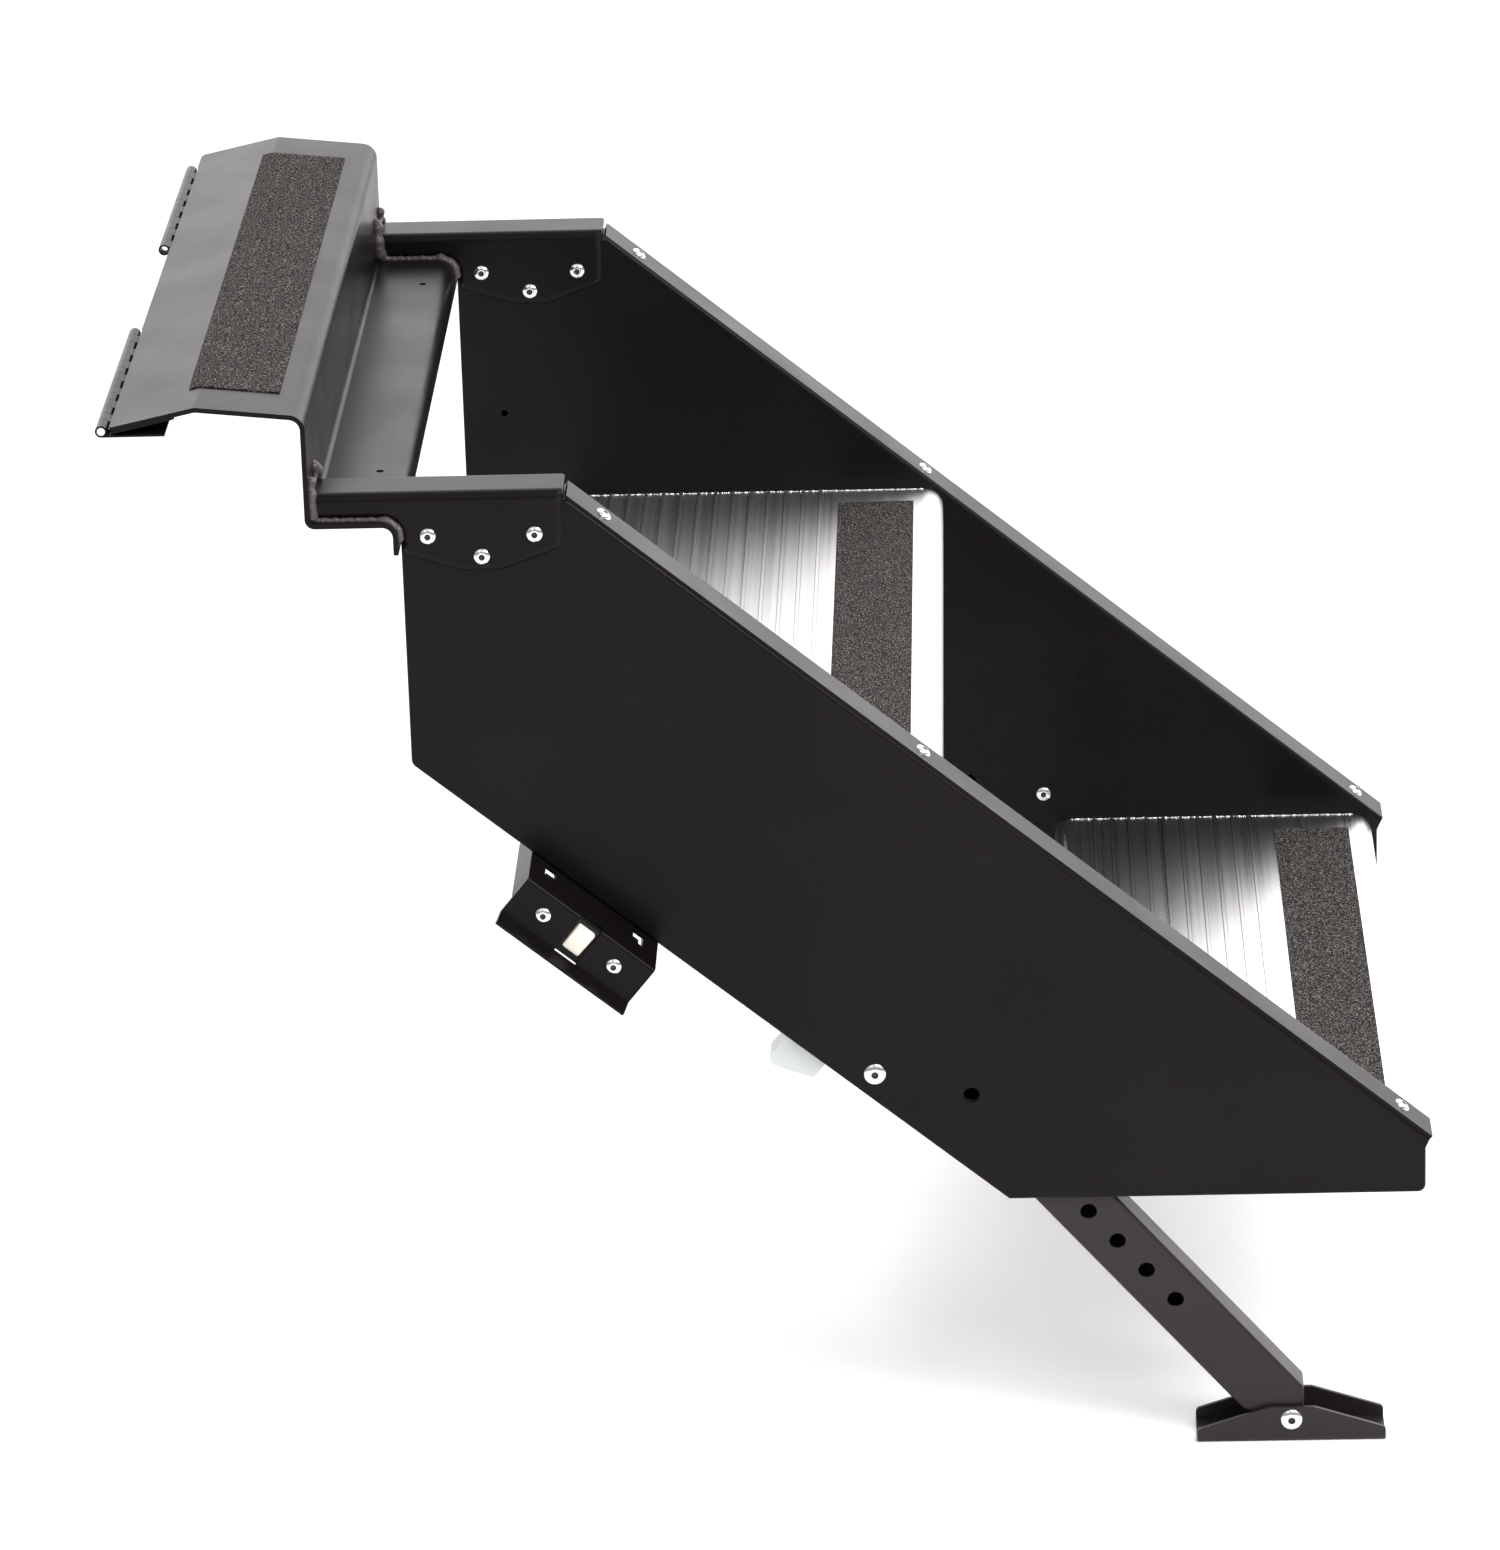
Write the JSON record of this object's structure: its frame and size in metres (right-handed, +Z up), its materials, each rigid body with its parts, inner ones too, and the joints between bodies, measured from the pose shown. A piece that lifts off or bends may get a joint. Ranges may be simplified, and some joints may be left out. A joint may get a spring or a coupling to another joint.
{
  "type": "caravan entry step",
  "caption": "Folding entry step for a caravan door: ramped threshold plate on a floor hinge, side boxes, ribbed treads with grip tape, sliding legs and pivoting feet.",
  "frame": {"origin": "on the caravan floor directly under the hinge pin axis, at mid width", "axes": "+X out of the door and down the steps, +Y across the step away from the latch side, +Z up"},
  "size_m": [0.7993, 0.6451, 0.6972],
  "materials": {
    "black_coat": "satin black powder coat",
    "tread_alloy": "mill finish extrusion",
    "zinc": "zinc plated",
    "grip_tape": "gritty",
    "black_plastic": "matt",
    "ivory_plastic": "smooth",
    "white_plastic": "smooth"
  },
  "bodies": {
    "floor_leaves": {"floor_leaf_near": "black_coat", "floor_leaf_far": "black_coat", "hinge_pins": "zinc"},
    "step": {"threshold_plate": "black_coat", "plate_leaf_near": "black_coat", "plate_leaf_far": "black_coat", "threshold_grip": "grip_tape", "arm_near": "black_coat", "arm_far": "black_coat", "arm_rivets": "zinc", "outer_skin_near": "black_coat", "outer_skin_far": "black_coat", "inner_skin_near": "black_coat", "inner_skin_far": "black_coat", "flange_rivets": "zinc", "upper_tread": "tread_alloy", "lower_tread": "tread_alloy", "upper_tread_grip": "grip_tape", "lower_tread_grip": "grip_tape", "leg_guide_lower_near": "black_plastic", "leg_guide_lower_far": "black_plastic", "leg_guide_upper_near": "black_plastic", "leg_guide_upper_far": "black_plastic", "guide_rivets_outer": "zinc", "guide_rivets_inner": "zinc", "latch_bracket": "black_coat", "latch_guide": "black_plastic", "latch_rivets": "zinc", "glide_pad_near": "white_plastic", "glide_pad_far": "white_plastic"},
    "latch": {"latch_tongue": "ivory_plastic"},
    "leg_near": {"leg_near": "black_coat"},
    "foot_near": {"foot_near": "black_coat", "foot_rivet_near": "zinc"},
    "leg_far": {"leg_far": "black_coat"},
    "foot_far": {"foot_far": "black_coat", "foot_rivet_far": "zinc"}
  },
  "joints": [
    {"name": "threshold_hinge", "type": "hinge", "parent": "floor_leaves", "child": "step", "pos_m": [0, 0, 0.00365], "axis": [0, -1, 0], "range_deg": [0, 130]},
    {"name": "latch_slide", "type": "slide", "parent": "step", "child": "latch", "axis": [0, 1, 0], "range_m": [0, 0.006], "stiffness_N_per_m": 400, "springref_m": -0.008},
    {"name": "leg_slide_near", "type": "slide", "parent": "step", "child": "leg_near", "axis": [0.6587, 0, -0.7524], "range_m": [-0.162, 0]},
    {"name": "foot_pivot_near", "type": "hinge", "parent": "leg_near", "child": "foot_near", "pos_m": [0.70789, -0.2755, -0.66382], "axis": [0, 1, 0], "range_deg": [-25, 25]},
    {"name": "leg_slide_far", "type": "slide", "parent": "step", "child": "leg_far", "axis": [0.6587, 0, -0.7524], "range_m": [-0.162, 0]},
    {"name": "foot_pivot_far", "type": "hinge", "parent": "leg_far", "child": "foot_far", "pos_m": [0.70789, 0.2755, -0.66382], "axis": [0, 1, 0], "range_deg": [-25, 25]}
  ]
}
